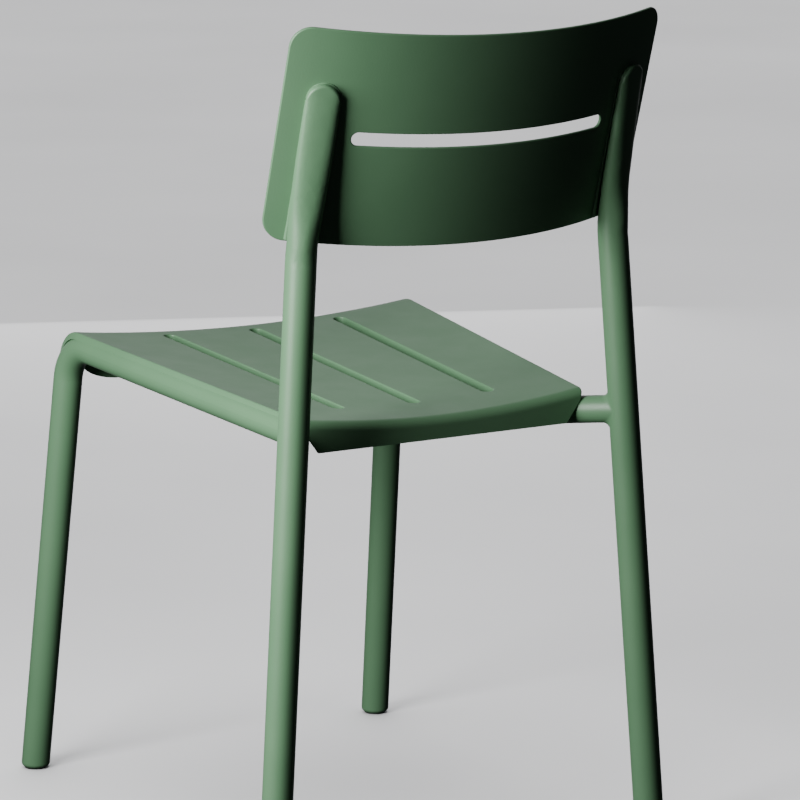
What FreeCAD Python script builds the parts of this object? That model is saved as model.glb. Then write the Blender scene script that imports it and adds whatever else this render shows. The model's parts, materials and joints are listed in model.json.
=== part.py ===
import FreeCAD, Part
import math
import os

V = FreeCAD.Vector

# ---------------------------------------------------------------- driving dimensions (mm)
# The floor is z = 0, the front of the chair faces -Y and x = 0 is the plane of symmetry.
# A plain name ending in _X, _Y or _Z is a coordinate; every sided part is drawn on +X first.

LEG_RADIUS = 14.0            # all four legs and both side rails are one tube size
TUBE_WALL = 2.0
CONNECTOR_RADIUS = 12.8
SHEET = 3.0                  # seat pan and back panel

# front leg and side rail, one bent tube
FRONT_FOOT = V(196.1, -271.0, 0.0)
FRONT_CORNER = V(180.3, -208.4, 435.5)     # where the leg and rail axes cross
FRONT_BEND_RADIUS = 38.0
RAIL_DIRECTION = V(-0.098, 1.0, -0.0756)
RAIL_END_Y = 160.0           # the rail ends in a dome beyond this

# rear leg, flattened to a tongue behind the back panel
REAR_FOOT = V(202.9, 220.5, 0.0)
REAR_KNEE = V(162.9, 206.2, 575.0)
KNEE_BLEND = 12.0            # the last round section lies this far below the knee
TONGUE_HALF_WIDTH = 15.4     # at its widest, part of the way up
TONGUE_END_RADIUS = 14.8
TONGUE_END_EDGE = 2.2
TONGUE_THICKNESS = 5.6
TONGUE_FOOT_THICKNESS = 24.0
TONGUE_FOOT_SINK = 2.6       # the tongue is drawn this far into the panel and trimmed to it
TONGUE_TOP_SINK = 1.5
TONGUE_FLATTENING = 0.62     # below 1 the tube goes flat quickly at first
TONGUE_SWELLING = 0.8
TONGUE_SQUARENESS = 2.9      # of the flat section; a round one has 2
TONGUE_STATIONS = (0.0, 0.12, 0.26, 0.42, 0.6, 0.8, 1.0)
TONGUE_OVERRUN = 15.0        # drawn this far above the top before the end is rounded
TONGUE_FOOT_V = -84.0        # heights on the panel's own up axis
TONGUE_TOP_V = 50.2
TONGUE_ARC = 161.0           # distance round the panel from its middle

# connector from the rail's rear end out to the rear leg
CONNECTOR_INNER = V(144.4, 157.6, 398.0)
CONNECTOR_OUTER = V(174.8, 210.5, 404.9)
CONNECTOR_WELD = 7.0

# feet
FOOT_EDGE = 4.5
FOOT_PLATE = 8.0
GLIDE_THICKNESS = 1.0
GLIDE_RADIUS = 10.5
GLIDE_PEG_RADIUS = 3.0
GLIDE_PEG_LENGTH = 6.0

# back panel, part of a leaning cylinder that is hollow towards the sitter
PANEL_RADIUS = 416.5
PANEL_CENTRE_Y = 251.6
PANEL_CENTRE_Z = 669.9
PANEL_TILT = 17.5
PANEL_ARC = 394.0
PANEL_HEIGHT = 199.4
PANEL_CORNER = 20.0
PANEL_EDGE = 1.1
GRIP_HALF_ARC = 131.0
GRIP_HEIGHT = 12.6
GRIP_V = 0.9

# seat pan
PAN_FRONT_Y = -185.0         # the front roll starts here
PAN_FRONT_HALF = 187.0
PAN_FRONT_Z = 449.0
PAN_REAR_Y = 173.0           # the rear roll starts here
PAN_REAR_HALF = 150.4
PAN_SLOPE = -0.0752
PAN_DISH = 10.6
FRONT_ROLL = 38.0
FRONT_ROLL_STEPS = 14
FRONT_SKIRT_Z = 393.5
REAR_ROLL = 8.5
REAR_ROLL_STEPS = 9
REAR_TUCK = 2.5              # how far each side of the pan draws in round the rear roll
REAR_SKIRT_Z = 390.5
REAR_SKIRT_HALF = 131.5
REAR_CORNER_Z = 416.5
SKIRT_CUT_DEPTH = 1.0        # how far the rear skirt's end cut reaches in front of the rear roll
FRONT_SKIRT_HALF = 120.0     # the skirt's lower edge is straight as far as this
FRONT_SKIRT_END = 42.0       # then it rises in a quarter ellipse this wide
FRONT_SKIRT_RISE = 18.0
LIP_ROUND = 2.0              # the pan's side edge turns down onto the rail
LIP_DEPTH = 6.5
LIP_FLARE = 1.6
LIP_INSET = 4.0

SLOT_HALF_WIDTH = 6.1
SLOT_FRONT_Y = -167.4
SLOT_REAR_Y = 125.0
SLOT_FRONT_X = 94.5
SLOT_REAR_X = 80.1
SLOT_EDGE = 1.1
SLOT_LIP_WIDTH = 2.6         # the sheet is turned down round each slot
SLOT_LIP_DROPS = (2.8, 5.6)  # each adds nearly one sheet thickness to its depth

# rubber pads under the pan that keep stacked chairs apart
PAD_RADIUS = 9.0
PAD_THICKNESS = 5.0
PAD_ROWS = ((-120.0, 138.0), (100.0, 116.0))

OVERSIZE = 60.0              # how far a cutting tool runs past the thing it cuts
SITE = 500.0                 # half the size of a block wider than the chair
TINY = 0.01
SAMPLES = 7                  # points looked at on an edge to tell where it lies
CORNER_STEPS = 6
OVAL_POINTS = 24
ACROSS_STEPS = 16
SKIRT_END_STEPS = 8


# ---------------------------------------------------------------- helpers
def unit(vector):
    return vector * (1.0 / vector.Length)


def mirrored(shape):
    return shape.mirror(V(0, 0, 0), V(1, 0, 0))


def largest(shape):
    return max(shape.Solids, key=lambda solid: solid.Volume)


def rod(start, end, radius):
    axis = end - start
    return Part.makeCylinder(radius, axis.Length, start, axis)


def bent_rod(start, corner, end, bend_radius, radius):
    """A round bar along start-corner-end with a bend of the given centreline radius."""
    into = unit(corner - start)
    out = unit(end - corner)
    turn = into.getAngle(out)
    setback = bend_radius * math.tan(turn / 2)
    first = corner - into * setback
    last = corner + out * setback
    inward = unit(out - into)
    middle = corner + inward * (bend_radius / math.cos(turn / 2) - bend_radius)
    path = Part.Wire([
        Part.makeLine(start, first),
        Part.Arc(first, middle, last).toShape(),
        Part.makeLine(last, end),
    ])
    profile = Part.Wire([Part.makeCircle(radius, start, into)])
    return path.makePipeShell([profile], True, False)


def closed_spline(points):
    curve = Part.BSplineCurve()
    curve.interpolate(points, PeriodicFlag=True)
    return Part.Wire([curve.toShape()])


def open_spline(points):
    curve = Part.BSplineCurve()
    curve.interpolate(points)
    return curve.toShape()


def along(start, direction, **target):
    """The point on a line where x, y or z has the wanted value."""
    name, value = next(iter(target.items()))
    step = (value - getattr(start, name)) / getattr(direction, name)
    return start + direction * step


def rounded_foot(leg, floor_z):
    """Cut the lower end level, close to the floor, and round its outer edge."""
    depth = 2 * OVERSIZE
    leg = leg.cut(Part.makeBox(SITE, 2 * SITE, depth, V(0, -SITE, floor_z - depth)))
    rim = [edge for edge in leg.Edges if edge.BoundBox.ZMax < floor_z + TINY]
    return leg.makeFillet(FOOT_EDGE, rim)


def glide(foot, leg_axis):
    """A thin nylon disc with a peg that presses into the foot."""
    centre = along(foot, leg_axis, z=GLIDE_THICKNESS)
    disc = Part.makeCylinder(GLIDE_RADIUS, GLIDE_THICKNESS, V(centre.x, centre.y, 0))
    peg = Part.makeCylinder(GLIDE_PEG_RADIUS, GLIDE_PEG_LENGTH, V(centre.x, centre.y, GLIDE_THICKNESS))
    return disc.fuse(peg).removeSplitter()


# ---------------------------------------------------------------- back panel
PANEL_FRAME = FreeCAD.Placement(
    V(0, PANEL_CENTRE_Y, PANEL_CENTRE_Z), FreeCAD.Rotation(V(1, 0, 0), -PANEL_TILT))


def round_corner(centre_s, centre_v, radius, start_deg):
    """Points of a quarter circle drawn on the flat sheet before it is rolled."""
    points = []
    for step in range(CORNER_STEPS + 1):
        angle = math.radians(start_deg + 90.0 * step / CORNER_STEPS)
        points.append((centre_s + radius * math.cos(angle), centre_v + radius * math.sin(angle)))
    return points


def rolled_outline(half_arc, half_height, radius, centre_v):
    """A rounded rectangle on the sheet, turned into a closed wire seen square to the panel."""
    across = half_arc - radius
    up = half_height - radius
    corners = ((across, up, 0), (-across, up, 90), (-across, -up, 180), (across, -up, 270))
    edges = []
    first = None
    last = None
    for s, v, start_deg in corners:
        arc = [
            V(PANEL_RADIUS * math.sin(a / PANEL_RADIUS), 0, b + centre_v)
            for a, b in round_corner(s, v, radius, start_deg)
        ]
        if last is not None and (arc[0] - last).Length > TINY:
            edges.append(Part.makeLine(last, arc[0]))
        edges.append(open_spline(arc))
        first = first or arc[0]
        last = arc[-1]
    if (last - first).Length > TINY:
        edges.append(Part.makeLine(last, first))
    return Part.Wire(edges)


def through_panel(wire):
    """A prism on the wire that passes right through the curved panel."""
    deep = PANEL_RADIUS / 2
    face = Part.Face(wire)
    face.translate(V(0, -deep, 0))
    return face.extrude(V(0, deep + OVERSIZE, 0))


def on_panel_face(edge):
    """True for an edge that runs round one of the panel's two curved faces."""
    points = edge.discretize(SAMPLES)
    reach = [math.hypot(point.x, point.y + PANEL_RADIUS) - PANEL_RADIUS for point in points]
    return all(abs(r) < TINY for r in reach) or all(abs(r - SHEET) < TINY for r in reach)


def make_back_panel():
    low = V(0, -PANEL_RADIUS, -PANEL_HEIGHT / 2)
    outer = Part.makeCylinder(PANEL_RADIUS + SHEET, PANEL_HEIGHT, low)
    inner = Part.makeCylinder(PANEL_RADIUS, PANEL_HEIGHT, low)
    outline = rolled_outline(PANEL_ARC / 2, PANEL_HEIGHT / 2, PANEL_CORNER, 0)
    panel = largest(outer.cut(inner).common(through_panel(outline)))
    grip = rolled_outline(GRIP_HALF_ARC, GRIP_HEIGHT / 2, GRIP_HEIGHT / 2 - TINY, GRIP_V)
    panel = largest(panel.cut(through_panel(grip)))
    panel = panel.makeFillet(PANEL_EDGE, [edge for edge in panel.Edges if on_panel_face(edge)])
    panel.Placement = PANEL_FRAME
    return panel


# ---------------------------------------------------------------- rear legs
def rear_face(arc, height):
    """A point on the panel's rear face with the directions round, out of and up it."""
    angle = arc / PANEL_RADIUS
    radius = PANEL_RADIUS + SHEET
    point = V(radius * math.sin(angle), radius * math.cos(angle) - PANEL_RADIUS, height)
    round_way = V(math.cos(angle), -math.sin(angle), 0)
    outward = V(math.sin(angle), math.cos(angle), 0)
    turn = PANEL_FRAME.Rotation
    return PANEL_FRAME.multVec(point), turn.multVec(round_way), turn.multVec(outward)


def oval(centre, wide_way, thick_way, half_width, half_thickness, squareness):
    """A closed section: a circle at squareness 2, flatter and squarer above it."""
    points = []
    for step in range(OVAL_POINTS):
        angle = 2 * math.pi * step / OVAL_POINTS
        across = math.copysign(abs(math.cos(angle)) ** (2 / squareness), math.cos(angle))
        through = math.copysign(abs(math.sin(angle)) ** (2 / squareness), math.sin(angle))
        points.append(centre + wide_way * (half_width * across) + thick_way * (half_thickness * through))
    return closed_spline(points)


def tongue_station(fraction):
    """The section of the leg at a fraction of the way up the tongue."""
    flatness = fraction ** TONGUE_FLATTENING
    height = TONGUE_FOOT_V + (TONGUE_TOP_V + TONGUE_OVERRUN - TONGUE_FOOT_V) * fraction
    base, wide_way, thick_way = rear_face(TONGUE_ARC, height)
    swell = math.sin(math.pi * fraction ** TONGUE_SWELLING)
    half_width = LEG_RADIUS + (TONGUE_END_RADIUS - LEG_RADIUS) * fraction
    half_width += (TONGUE_HALF_WIDTH - LEG_RADIUS) * swell
    sunk = TONGUE_FOOT_SINK + (TONGUE_TOP_SINK - TONGUE_FOOT_SINK) * flatness
    proud = TONGUE_FOOT_THICKNESS + (TONGUE_THICKNESS - TONGUE_FOOT_THICKNESS) * flatness
    centre = base + thick_way * ((proud - sunk) / 2)
    squareness = 2 + (TONGUE_SQUARENESS - 2) * flatness
    return oval(centre, wide_way, thick_way, half_width, (proud + sunk) / 2, squareness)


def tongue_end_frame():
    """Where the tongue's half-round end is centred: X round the panel, Y out of it and Z up it."""
    base, wide_way, thick_way = rear_face(TONGUE_ARC, TONGUE_TOP_V - TONGUE_END_RADIUS)
    turn = FreeCAD.Rotation(wide_way, thick_way, wide_way.cross(thick_way), "ZXY")
    return FreeCAD.Placement(base, turn)


def tongue_end_tool():
    """Everything beyond the half-round end of the tongue."""
    half = 2 * TONGUE_END_RADIUS
    block = Part.makeBox(2 * half, 2 * OVERSIZE, OVERSIZE, V(-half, -OVERSIZE, 0))
    disc = Part.makeCylinder(TONGUE_END_RADIUS, 2 * OVERSIZE, V(0, -OVERSIZE, 0), V(0, 1, 0))
    tool = block.cut(disc)
    tool.Placement = tongue_end_frame()
    return tool


def on_tongue_end(edge):
    """True for the outer edge of the tongue's half-round end."""
    into_end = tongue_end_frame().inverse()
    for point in edge.discretize(SAMPLES):
        place = into_end.multVec(point)
        round_end = abs(math.hypot(place.x, place.z) - TONGUE_END_RADIUS) < TINY
        if not round_end or place.y < TONGUE_TOP_SINK or place.z < -TINY:
            return False
    return True


def make_rear_leg(panel):
    axis = unit(REAR_KNEE - REAR_FOOT)
    below = along(REAR_FOOT, axis, z=-OVERSIZE)
    top = REAR_KNEE - axis * KNEE_BLEND
    straight = rod(below, top, LEG_RADIUS)
    straight = rounded_foot(straight, GLIDE_THICKNESS)

    wide_way, thick_way = rear_face(TONGUE_ARC, TONGUE_FOOT_V)[1:]
    flat_way = unit(wide_way - axis * wide_way.dot(axis))
    deep_way = axis.cross(flat_way)
    if deep_way.dot(thick_way) < 0:
        deep_way = deep_way * -1
    radius = LEG_RADIUS - TINY
    starts = [oval(top - axis * TINY, flat_way, deep_way, radius, radius, 2)]
    starts.append(oval(top + axis * (KNEE_BLEND / 2), flat_way, deep_way, radius, radius, 2))
    sections = starts + [tongue_station(fraction) for fraction in TONGUE_STATIONS]
    leg = straight.fuse(Part.makeLoft(sections, True, False))
    leg = largest(leg.cut(tongue_end_tool()).cut(panel))
    leg = leg.makeFillet(TONGUE_END_EDGE, [edge for edge in leg.Edges if on_tongue_end(edge)])

    bore = rod(along(REAR_FOOT, axis, z=FOOT_PLATE + GLIDE_THICKNESS), top, LEG_RADIUS - TUBE_WALL)
    return leg.cut(bore)


# ---------------------------------------------------------------- front legs and rails
def front_tube(radius, foot_z):
    axis = unit(FRONT_CORNER - FRONT_FOOT)
    low = along(FRONT_FOOT, axis, z=foot_z)
    end = along(FRONT_CORNER, RAIL_DIRECTION, y=RAIL_END_Y)
    return bent_rod(low, FRONT_CORNER, end, FRONT_BEND_RADIUS, radius)


def front_bar():
    """The leg and rail as a solid bar, with a domed rear end."""
    dome = Part.makeSphere(LEG_RADIUS, along(FRONT_CORNER, RAIL_DIRECTION, y=RAIL_END_Y))
    return front_tube(LEG_RADIUS, -OVERSIZE / 2).fuse(dome)


def make_front_leg():
    outside = rounded_foot(front_bar(), GLIDE_THICKNESS)
    return outside.cut(front_tube(LEG_RADIUS - TUBE_WALL, FOOT_PLATE + GLIDE_THICKNESS))


# ---------------------------------------------------------------- connectors
def make_connector(rail, rear_leg):
    """A short tube with its weld blended into the rear leg."""
    bar = rod(CONNECTOR_INNER, CONNECTOR_OUTER, CONNECTOR_RADIUS)
    bar = bar.fuse(Part.makeSphere(CONNECTOR_RADIUS, CONNECTOR_INNER))
    axis = unit(REAR_KNEE - REAR_FOOT)
    low = along(REAR_FOOT, axis, z=CONNECTOR_OUTER.z - 2 * OVERSIZE)
    high = along(REAR_FOOT, axis, z=CONNECTOR_OUTER.z + 2 * OVERSIZE)
    post = rod(low, high, LEG_RADIUS)
    joint = post.fuse(bar)
    seam = [edge for edge in joint.Edges if edge.Length > TINY and on_post(edge, low, axis)]
    joint = joint.makeFillet(CONNECTOR_WELD, seam)
    return largest(joint.cut(post).cut(rail))


def on_post(edge, low, axis):
    """True for an edge on the leg's wall, well away from both ends of the piece of leg."""
    for point in edge.discretize(SAMPLES):
        offset = point - low
        radial = offset - axis * offset.dot(axis)
        along_post = offset.dot(axis)
        if abs(radial.Length - LEG_RADIUS) > TINY or not OVERSIZE < along_post < 3 * OVERSIZE:
            return False
    return True


# ---------------------------------------------------------------- seat pan
def pan_half_width(y):
    share = (y - PAN_FRONT_Y) / (PAN_REAR_Y - PAN_FRONT_Y)
    return PAN_FRONT_HALF + (PAN_REAR_HALF - PAN_FRONT_HALF) * share


def pan_height(y, across):
    """Top of the pan; across runs from -1 at one side edge to 1 at the other."""
    return PAN_FRONT_Z + PAN_SLOPE * (y - PAN_FRONT_Y) - PAN_DISH * (1 - across ** 2)


def pan_profile(across, offset):
    """Points from the front skirt's lower edge, over the pan, to the rear skirt's lower edge.

    offset 0 gives the upper face and offset SHEET the lower one.
    """
    points = []
    front_half = pan_half_width(PAN_FRONT_Y)
    centre_z = pan_height(PAN_FRONT_Y, across) - FRONT_ROLL
    radius = FRONT_ROLL - offset
    points.append(V(across * front_half, PAN_FRONT_Y - radius, FRONT_SKIRT_Z))
    slope = math.atan(PAN_SLOPE)
    for step in range(FRONT_ROLL_STEPS + 1):
        angle = math.radians(180) + (math.radians(-90) + slope) * step / FRONT_ROLL_STEPS
        y = PAN_FRONT_Y + radius * math.cos(angle)
        points.append(V(across * front_half, y, centre_z + radius * math.sin(angle)))
    centre_z = pan_height(PAN_REAR_Y, across) - REAR_ROLL
    radius = REAR_ROLL - offset
    for step in range(REAR_ROLL_STEPS + 1):
        angle = math.radians(90) + slope + (math.radians(-90) - slope) * step / REAR_ROLL_STEPS
        half = PAN_REAR_HALF - REAR_TUCK * (step / REAR_ROLL_STEPS) ** 2
        y = PAN_REAR_Y + radius * math.cos(angle)
        points.append(V(across * half, y, centre_z + radius * math.sin(angle)))
    points.append(V(across * (PAN_REAR_HALF - REAR_TUCK), PAN_REAR_Y + radius, REAR_SKIRT_Z))
    return points


def make_pan_sheet():
    lines = [-1 + 2 * step / ACROSS_STEPS for step in range(ACROSS_STEPS + 1)]
    upper = [pan_profile(across, 0) for across in lines]
    lower = [pan_profile(across, SHEET) for across in lines]
    sections = []
    for station in range(len(upper[0])):
        top = [column[station] for column in upper]
        bottom = [column[station] for column in lower]
        left = lip(top[-1], bottom[-1], 1)
        right = lip(top[0], bottom[0], -1)
        top[-1] = left[0]
        top[0] = right[0]
        bottom[-1] = left[-1]
        bottom[0] = right[-1]
        faces = [open_spline(top)], [open_spline(bottom[::-1])]
        sections.append(Part.Wire(faces[0] + lip_edges(left) + faces[1] + lip_edges(right[::-1])))
    return Part.makeLoft(sections, True, True)


def lip(top, bottom, side):
    """Corner points of the turned-down edge, from the top face round to the lower face."""
    down = unit(bottom - top)
    out = V(side, 0, 0)
    bend = (1 - math.sqrt(0.5)) * LIP_ROUND
    return [
        top - out * LIP_ROUND,
        top - out * bend + down * bend,
        top + down * LIP_ROUND,
        top + down * LIP_DEPTH + out * LIP_FLARE,
        top + down * LIP_DEPTH - out * LIP_INSET,
        bottom - out * LIP_INSET,
    ]


def lip_edges(points):
    """Edges through the lip's points in either order; the rounded corner is the one at the top."""
    rounded = 0 if (points[0] - points[2]).Length < (points[-1] - points[-3]).Length else 3
    edges = []
    step = 0
    while step < len(points) - 1:
        if step == rounded:
            edges.append(Part.Arc(*points[step:step + 3]).toShape())
            step += 2
        else:
            edges.append(Part.makeLine(points[step], points[step + 1]))
            step += 1
    return edges


def on_slot_rim(edge):
    """True for an edge on the pan's upper face that belongs to a slot."""
    reach = 2 * SLOT_HALF_WIDTH
    for point in edge.discretize(SAMPLES):
        lengthways = SLOT_FRONT_Y - reach < point.y < SLOT_REAR_Y + reach
        sideways = abs(point.x) < SLOT_FRONT_X + reach
        top = pan_height(point.y, point.x / pan_half_width(point.y))
        if not (lengthways and sideways) or abs(point.z - top) > SHEET / 10:
            return False
    return True


def slot_tool(front_x, rear_x, half_width):
    """An upright prism with the outline of a slot, right through the pan."""
    front = V(front_x, SLOT_FRONT_Y, 0)
    rear = V(rear_x, SLOT_REAR_Y, 0)
    side = unit(V(0, 0, 1).cross(rear - front)) * half_width
    ahead = unit(rear - front) * half_width
    wire = Part.Wire([
        Part.makeLine(front + side, rear + side),
        Part.Arc(rear + side, rear + ahead, rear - side).toShape(),
        Part.makeLine(rear - side, front - side),
        Part.Arc(front - side, front - ahead, front + side).toShape(),
    ])
    return Part.Face(wire).extrude(V(0, 0, SITE))


def skirt_end_tools():
    """Corners taken off the ends of both skirts, on the +X side."""
    far = PAN_FRONT_HALF + OVERSIZE
    low = FRONT_SKIRT_Z - OVERSIZE
    front_y = PAN_FRONT_Y - FRONT_ROLL - OVERSIZE
    curve = []
    for step in range(SKIRT_END_STEPS + 1):
        angle = math.radians(90.0 * step / SKIRT_END_STEPS)
        x = FRONT_SKIRT_HALF + FRONT_SKIRT_END * math.sin(angle)
        curve.append(V(x, front_y, FRONT_SKIRT_Z + FRONT_SKIRT_RISE * (1 - math.cos(angle))))
    start = curve[0]
    rise = curve[-1]
    front = Part.Wire([
        open_spline(curve),
        Part.makeLine(rise, V(far, front_y, rise.z)),
        Part.makeLine(V(far, front_y, rise.z), V(far, front_y, low)),
        Part.makeLine(V(far, front_y, low), V(start.x, front_y, low)),
        Part.makeLine(V(start.x, front_y, low), start),
    ])
    front_tool = Part.Face(front).extrude(V(0, OVERSIZE + FRONT_ROLL / 2, 0))
    back_y = PAN_REAR_Y - SKIRT_CUT_DEPTH
    corner = V(REAR_SKIRT_HALF, back_y, REAR_SKIRT_Z)
    top = V(PAN_REAR_HALF, back_y, REAR_CORNER_Z)
    points = [V(corner.x, back_y, low), corner, top, V(far, back_y, top.z), V(far, back_y, low)]
    rear = Part.makePolygon(points + points[:1])
    rear_tool = Part.Face(rear).extrude(V(0, OVERSIZE, 0))
    return front_tool, rear_tool


def make_seat_pan(rail_bars, connectors):
    sheet = make_pan_sheet()
    pan = sheet
    for front_x, rear_x in ((0, 0), (SLOT_FRONT_X, SLOT_REAR_X), (-SLOT_FRONT_X, -SLOT_REAR_X)):
        rim = sheet.common(slot_tool(front_x, rear_x, SLOT_HALF_WIDTH + SLOT_LIP_WIDTH))
        pan = pan.fuse([rim.translated(V(0, 0, -drop)) for drop in SLOT_LIP_DROPS])
        pan = pan.cut(slot_tool(front_x, rear_x, SLOT_HALF_WIDTH))
    pan = largest(pan)
    pan = pan.makeFillet(SLOT_EDGE, [edge for edge in pan.Edges if on_slot_rim(edge)])
    for tool in skirt_end_tools():
        pan = pan.cut(tool).cut(mirrored(tool))
    for solid in rail_bars + connectors:
        pan = pan.cut(solid)
    return largest(pan)


def make_pads(pan):
    """Low round pads stuck to the underside of the pan."""
    pads = []
    for y, x in PAD_ROWS:
        for side in (1, -1):
            underside = pan_height(y, x / pan_half_width(y)) - SHEET
            column = Part.makeCylinder(
                PAD_RADIUS, 2 * PAD_THICKNESS, V(side * x, y, underside - PAD_THICKNESS))
            pads.append(min(column.cut(pan).Solids, key=lambda solid: solid.CenterOfMass.z))
    return Part.makeCompound(pads)


# ---------------------------------------------------------------- assembly
def build_chair():
    nodes = {}
    panel = make_back_panel()
    nodes["back_panel"] = panel

    rear_leg = make_rear_leg(panel)
    front_leg = make_front_leg()
    rail_bar = front_bar()
    connector = make_connector(rail_bar, rear_leg)
    front_glide = glide(FRONT_FOOT, FRONT_CORNER - FRONT_FOOT)
    rear_glide = glide(REAR_FOOT, REAR_KNEE - REAR_FOOT)
    pan = make_seat_pan([rail_bar, mirrored(rail_bar)], [connector, mirrored(connector)])
    nodes["seat_pan"] = pan

    sided = {
        "front_leg_and_rail": front_leg.cut(front_glide),
        "rear_leg": rear_leg.cut(rear_glide),
        "rear_connector": connector,
        "front_glide": front_glide,
        "rear_glide": rear_glide,
    }
    for name, shape in sided.items():
        nodes[name + "_left"] = shape
        nodes[name + "_right"] = mirrored(shape)
    nodes["stacking_pads"] = make_pads(pan)
    return nodes


os.makedirs("parts", exist_ok=True)
for node, shape in build_chair().items():
    shape.exportStep(os.path.join("parts", node + ".step"))
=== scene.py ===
import json
import math

import bpy
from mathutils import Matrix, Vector


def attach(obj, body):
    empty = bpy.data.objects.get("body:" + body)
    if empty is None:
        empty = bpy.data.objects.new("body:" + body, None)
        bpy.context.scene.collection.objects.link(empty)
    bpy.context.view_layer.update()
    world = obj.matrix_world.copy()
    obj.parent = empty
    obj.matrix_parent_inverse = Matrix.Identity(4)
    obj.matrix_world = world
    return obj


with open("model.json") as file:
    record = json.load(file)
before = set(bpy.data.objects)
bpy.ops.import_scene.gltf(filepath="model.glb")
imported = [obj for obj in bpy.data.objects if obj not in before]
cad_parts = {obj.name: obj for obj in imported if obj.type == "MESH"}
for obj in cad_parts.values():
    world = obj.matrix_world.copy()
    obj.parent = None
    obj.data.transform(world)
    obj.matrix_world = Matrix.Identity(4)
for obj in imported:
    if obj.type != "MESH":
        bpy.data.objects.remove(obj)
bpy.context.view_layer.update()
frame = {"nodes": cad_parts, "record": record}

# ------------------------------------------------------------------ sizes and places (m)
CAMERA_PLACE = Vector((1.84666, 3.14509, 1.10356))
CAMERA_TARGET = Vector((-0.05897, 0.0056, 0.39038))
FOCAL_LENGTH = 177.77         # mm, as is the sensor
SENSOR_WIDTH = 36.0
CLIP_END = 80.0

FLOOR_SIZE = 60.0

# the back panel is part of a leaning cylinder, and each rear leg ends in a tongue on its rear face
PANEL_REAR_RADIUS = 0.4195
PANEL_DEPTH = 0.4165          # from the cylinder's axis to the panel's middle, on the sitter's side
PANEL_MIDDLE = Vector((0.0, 0.2516, 0.6699))
PANEL_LEAN = math.radians(17.5)
TONGUE_ARC = 0.1610           # distance round the panel to the middle of the tongue
TONGUE_LOW = -0.0975          # heights up the panel, from its middle
TONGUE_ROUND = 0.0354         # the half-round end starts here
TONGUE_HALF_LOW = 0.0132
TONGUE_HALF_HIGH = 0.0148

# weld bead round each tongue, thick at the bottom where it fills the angle beside the round tube
BEAD_LOW = 0.0027             # less than the 3 mm sheet, so it never shows on the sitter's side
BEAD_HIGH = 0.0010
BEAD_SIDE_STEPS = 14
BEAD_END_STEPS = 16
BEAD_RIPPLE = 0.06            # share by which the radius wanders
BEAD_RIPPLE_STEP = 2.4        # radians from one point of the line to the next
BEAD_ROUNDNESS = 4
BEAD_ORDER = 3

# light: one soft key near the sitter's left rear leg, a weak light in front of the chair, and a
# light for the floor alone
KEY_PLACE = Vector((1.17, 0.32, 0.88))
KEY_TARGET = Vector((0.10, 0.28, 0.40))
KEY_SIZE = (0.7, 0.9)
KEY_POWER = 18.0
KEY_SPREAD = math.radians(115)
FILL_PLACE = Vector((-1.0, -2.4, 0.9))      # in front of the chair, so its back stays in shade
FILL_SIZE = (1.8, 1.8)
FILL_POWER = 14.0
FLOOR_LIGHT_STRENGTH = 4.5
FLOOR_LIGHT_SPREAD = math.radians(70)

# the studio is dim but for a pale backdrop on the far side, which the seat mirrors
BACKDROP_DIRECTION = Vector((-0.50, -0.84, 0.20)).normalized()
BACKDROP_EDGE = 0.70          # cosine at which the backdrop has faded out
BACKDROP_FULL = 0.92
BACKDROP_PALE = (0.56, 0.565, 0.58, 1.0)
STUDIO_DIM = (0.020, 0.0205, 0.022, 1.0)

# colours are linear
COAT_GREEN = (0.106, 0.222, 0.118, 1.0)
COAT_PALE = (0.113, 0.233, 0.125, 1.0)
COAT_DEEP = (0.099, 0.210, 0.111, 1.0)
NYLON_BLACK = (0.012, 0.012, 0.013, 1.0)
NYLON_GREY = (0.022, 0.022, 0.023, 1.0)
RUBBER_BLACK = (0.014, 0.014, 0.014, 1.0)
RUBBER_GREY = (0.030, 0.030, 0.029, 1.0)
FLOOR_PALE = (0.56, 0.56, 0.57, 1.0)
FLOOR_SHADE = (0.51, 0.51, 0.52, 1.0)

# scales of the noises, in repeats per metre
COAT_CLOUD, COAT_SHEEN, COAT_PEEL, COAT_GRAIN = 9.0, 26.0, 620.0, 2600.0
NYLON_SCUFF = 240.0
RUBBER_BLOOM, RUBBER_PORES = 130.0, 1500.0
FLOOR_CLOUD = 1.2
SOFT_NOISE, ROUGH_NOISE = 0.5, 0.7    # how much fine detail a noise has
NOISE_LOW, NOISE_HIGH = 0.3, 0.7      # nearly all of a noise lies between these

# how rough each surface is, from its smoothest spots to its roughest
COAT_ROUGHNESS = (0.37, 0.43)
NYLON_ROUGHNESS = (0.45, 0.65)
RUBBER_ROUGHNESS = (0.68, 0.85)
FLOOR_ROUGHNESS = (0.7, 0.85)
COAT_SPECULAR = 0.45

# bumps are (strength, height in metres)
COAT_PEEL_BUMP = (0.10, 0.0006)
COAT_GRAIN_BUMP = (0.10, 0.00012)
NYLON_SCUFF_BUMP = (0.3, 0.0002)
RUBBER_PORE_BUMP = (0.25, 0.0001)


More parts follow.
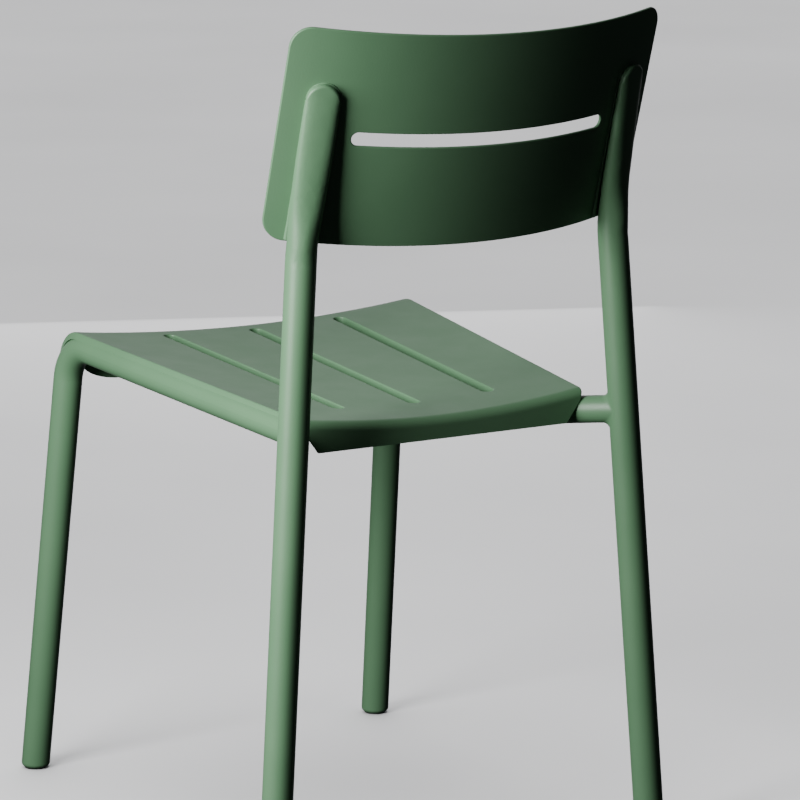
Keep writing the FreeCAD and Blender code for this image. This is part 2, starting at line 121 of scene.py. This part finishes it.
# ------------------------------------------------------------------ materials
class Surface:
    """A procedural material whose detail is laid out in metres on the object."""

    def __init__(self, name):
        self.material = bpy.data.materials.new(name)
        self.material.use_nodes = True
        self.tree = self.material.node_tree
        self.shader = self.tree.nodes["Principled BSDF"]
        self.place = self.tree.nodes.new("ShaderNodeTexCoord").outputs["Object"]

    def noise(self, scale, detail=3.0, roughness=SOFT_NOISE):
        node = self.tree.nodes.new("ShaderNodeTexNoise")
        node.inputs["Scale"].default_value = scale
        node.inputs["Detail"].default_value = detail
        node.inputs["Roughness"].default_value = roughness
        self.tree.links.new(self.place, node.inputs["Vector"])
        return node.outputs["Fac"]

    def spread(self, value, to_low, to_high):
        """Stretch the middle of a noise over a range."""
        node = self.tree.nodes.new("ShaderNodeMapRange")
        node.inputs["From Min"].default_value = NOISE_LOW
        node.inputs["From Max"].default_value = NOISE_HIGH
        node.inputs["To Min"].default_value = to_low
        node.inputs["To Max"].default_value = to_high
        self.tree.links.new(value, node.inputs["Value"])
        return node.outputs["Result"]

    def blend(self, value, *colours):
        """Colours spaced evenly over the middle of a noise."""
        node = self.tree.nodes.new("ShaderNodeValToRGB")
        ramp = node.color_ramp.elements
        while len(ramp) < len(colours):
            ramp.new(0.5)
        for step, colour in enumerate(colours):
            share = step / (len(colours) - 1)
            ramp[step].position = NOISE_LOW + (NOISE_HIGH - NOISE_LOW) * share
            ramp[step].color = colour
        self.tree.links.new(value, node.inputs["Fac"])
        return node.outputs["Color"]

    def bumps(self, *layers):
        """Each layer is (noise, (strength, height in metres))."""
        normal = None
        for value, (strength, height) in layers:
            node = self.tree.nodes.new("ShaderNodeBump")
            node.inputs["Strength"].default_value = strength
            node.inputs["Distance"].default_value = height
            self.tree.links.new(value, node.inputs["Height"])
            if normal:
                self.tree.links.new(normal, node.inputs["Normal"])
            normal = node.outputs["Normal"]
        self.tree.links.new(normal, self.shader.inputs["Normal"])

    def feed(self, **sources):
        """Link a result, or set a number, on shader sockets named in the call."""
        for name, source in sources.items():
            socket = self.shader.inputs[name.replace("_", " ")]
            if isinstance(source, bpy.types.NodeSocket):
                self.tree.links.new(source, socket)
            else:
                socket.default_value = source


def powder_coat():
    """Satin powder coat: even colour, faint clouding and a fine orange-peel skin."""
    coat = Surface("powder_coat_green")
    cloud = coat.noise(scale=COAT_CLOUD, detail=4.0)
    sheen = coat.noise(scale=COAT_SHEEN)
    peel = coat.noise(scale=COAT_PEEL, detail=2.0)
    grain = coat.noise(scale=COAT_GRAIN, detail=2.0, roughness=ROUGH_NOISE)
    coat.feed(
        Base_Color=coat.blend(cloud, COAT_DEEP, COAT_GREEN, COAT_PALE),
        Roughness=coat.spread(sheen, *COAT_ROUGHNESS),
        Specular_IOR_Level=COAT_SPECULAR,
    )
    coat.bumps((peel, COAT_PEEL_BUMP), (grain, COAT_GRAIN_BUMP))
    return coat.material


def nylon():
    """Moulded black nylon, scuffed where it slides on the floor."""
    skin = Surface("glide_nylon")
    scuff = skin.noise(scale=NYLON_SCUFF, detail=6.0, roughness=ROUGH_NOISE)
    skin.feed(
        Base_Color=skin.blend(scuff, NYLON_BLACK, NYLON_GREY),
        Roughness=skin.spread(scuff, *NYLON_ROUGHNESS),
    )
    skin.bumps((scuff, NYLON_SCUFF_BUMP))
    return skin.material


def rubber():
    """Dull moulded rubber with a fine dusty bloom."""
    skin = Surface("pad_rubber")
    bloom = skin.noise(scale=RUBBER_BLOOM, detail=5.0)
    pores = skin.noise(scale=RUBBER_PORES, detail=2.0)
    skin.feed(
        Base_Color=skin.blend(bloom, RUBBER_BLACK, RUBBER_GREY),
        Roughness=skin.spread(bloom, *RUBBER_ROUGHNESS),
    )
    skin.bumps((pores, RUBBER_PORE_BUMP))
    return skin.material


def dress(node, material):
    """Give a CAD node its material; its mesh stays as it is."""
    node.data.materials.clear()
    node.data.materials.append(material)


# ------------------------------------------------------------------ weld beads
def on_panel(arc, height):
    """A point on the panel's rear face, from its distance round and its height up the panel."""
    angle = arc / PANEL_REAR_RADIUS
    across = PANEL_REAR_RADIUS * math.sin(angle)
    back = PANEL_REAR_RADIUS * math.cos(angle) - PANEL_DEPTH
    lean_cos, lean_sin = math.cos(PANEL_LEAN), math.sin(PANEL_LEAN)
    return PANEL_MIDDLE + Vector((
        across, back * lean_cos + height * lean_sin, height * lean_cos - back * lean_sin))


def bead_line():
    """(distance from the tongue's middle, height, radius) up one side, round the end and down."""
    side = []
    for step in range(BEAD_SIDE_STEPS):
        share = step / BEAD_SIDE_STEPS
        half = TONGUE_HALF_LOW + (TONGUE_HALF_HIGH - TONGUE_HALF_LOW) * share
        height = TONGUE_LOW + (TONGUE_ROUND - TONGUE_LOW) * share
        side.append((half, height, BEAD_LOW + (BEAD_HIGH - BEAD_LOW) * math.sqrt(share)))
    end = []
    for step in range(BEAD_END_STEPS + 1):
        angle = math.pi * step / BEAD_END_STEPS
        end.append((TONGUE_HALF_HIGH * math.cos(angle),
                    TONGUE_ROUND + TONGUE_HALF_HIGH * math.sin(angle), BEAD_HIGH))
    back_down = [(-half, height, radius) for half, height, radius in reversed(side)]
    return side + end + back_down


def weld_bead(name, side, material):
    """The bead on one tongue; side is 1 on the sitter's left and -1 on the right."""
    curve = bpy.data.curves.new(name, "CURVE")
    curve.dimensions = "3D"
    curve.bevel_depth = 1.0       # so that a point's radius is in metres
    curve.bevel_resolution = BEAD_ROUNDNESS
    curve.use_fill_caps = True
    line = curve.splines.new("NURBS")
    stations = bead_line()
    line.points.add(len(stations) - 1)
    for index, (offset, height, radius) in enumerate(stations):
        ripple = 1 + BEAD_RIPPLE * math.sin(BEAD_RIPPLE_STEP * index)
        place = on_panel(TONGUE_ARC + offset, height)
        line.points[index].co = (side * place.x, place.y, place.z, 1.0)
        line.points[index].radius = radius * ripple
    line.use_endpoint_u = True
    line.order_u = BEAD_ORDER
    bead = bpy.data.objects.new(name, curve)
    bpy.context.collection.objects.link(bead)
    curve.materials.append(material)
    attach(bead, "root")


# ------------------------------------------------------------------ camera, floor and light
def make_camera():
    data = bpy.data.cameras.new("studio_camera")
    data.lens = FOCAL_LENGTH
    data.sensor_width = SENSOR_WIDTH
    data.clip_end = CLIP_END
    camera = bpy.data.objects.new("studio_camera", data)
    camera.location = CAMERA_PLACE
    camera.rotation_euler = (CAMERA_TARGET - CAMERA_PLACE).to_track_quat("-Z", "Y").to_euler()
    bpy.context.collection.objects.link(camera)
    bpy.context.scene.camera = camera


def make_floor():
    bpy.ops.mesh.primitive_plane_add(size=FLOOR_SIZE, location=(0, 0, 0))
    floor = bpy.context.object
    floor.name = "floor"
    stone = Surface("pale_floor")
    cloud = stone.noise(scale=FLOOR_CLOUD, detail=4.0)
    stone.feed(
        Base_Color=stone.blend(cloud, FLOOR_SHADE, FLOOR_PALE),
        Roughness=stone.spread(cloud, *FLOOR_ROUGHNESS),
    )
    floor.data.materials.append(stone.material)
    floor.visible_diffuse = False        # it takes the chair's shadow but throws no light up
    floor.visible_glossy = False
    return floor


def add_light(name, kind, strength, direction, place=(0, 0, 0)):
    """A light shining against the given direction, which points from the chair to the light."""
    data = bpy.data.lights.new(name, kind)
    data.energy = strength
    light = bpy.data.objects.new(name, data)
    light.location = place
    light.rotation_euler = direction.to_track_quat("Z", "Y").to_euler()
    bpy.context.collection.objects.link(light)
    return light


def make_lights(floor):
    key = add_light("key", "AREA", KEY_POWER, KEY_PLACE - KEY_TARGET, KEY_PLACE)
    key.data.shape = "RECTANGLE"
    key.data.size, key.data.size_y = KEY_SIZE
    key.data.spread = KEY_SPREAD
    fill = add_light("fill", "AREA", FILL_POWER, FILL_PLACE - KEY_TARGET, FILL_PLACE)
    fill.data.shape = "RECTANGLE"
    fill.data.size, fill.data.size_y = FILL_SIZE
    fill.visible_glossy = False   # no mirror image of it on the seat

    floor_light = add_light("floor_light", "SUN", FLOOR_LIGHT_STRENGTH, Vector((0, 0, 1)))
    floor_light.data.angle = FLOOR_LIGHT_SPREAD
    only_floor = bpy.data.collections.new("lit_by_floor_light")
    only_floor.objects.link(floor)
    floor_light.light_linking.receiver_collection = only_floor


def make_world():
    world = bpy.data.worlds.new("studio")
    world.use_nodes = True
    tree = world.node_tree
    place = tree.nodes.new("ShaderNodeTexCoord").outputs["Generated"]
    facing = tree.nodes.new("ShaderNodeVectorMath")
    facing.operation = "DOT_PRODUCT"
    facing.inputs[1].default_value = BACKDROP_DIRECTION
    fade = tree.nodes.new("ShaderNodeMapRange")
    fade.interpolation_type = "SMOOTHSTEP"
    fade.inputs["From Min"].default_value = BACKDROP_EDGE
    fade.inputs["From Max"].default_value = BACKDROP_FULL
    mix = tree.nodes.new("ShaderNodeMix")
    mix.data_type = "RGBA"
    mix.inputs["A"].default_value = STUDIO_DIM
    mix.inputs["B"].default_value = BACKDROP_PALE
    tree.links.new(place, facing.inputs[0])
    tree.links.new(facing.outputs["Value"], fade.inputs["Value"])
    tree.links.new(fade.outputs["Result"], mix.inputs["Factor"])
    tree.links.new(mix.outputs["Result"], tree.nodes["Background"].inputs["Color"])
    bpy.context.scene.world = world


# ------------------------------------------------------------------ assembly
finishes = {"powder_coat": powder_coat(), "nylon": nylon(), "pad_rubber": rubber()}
for part in frame["record"]["subparts"]:
    dress(frame["nodes"][part["node"]], finishes[part["material_slot"]])

weld_bead("tongue_weld_left", 1, finishes["powder_coat"])
weld_bead("tongue_weld_right", -1, finishes["powder_coat"])

make_camera()
make_lights(make_floor())
make_world()
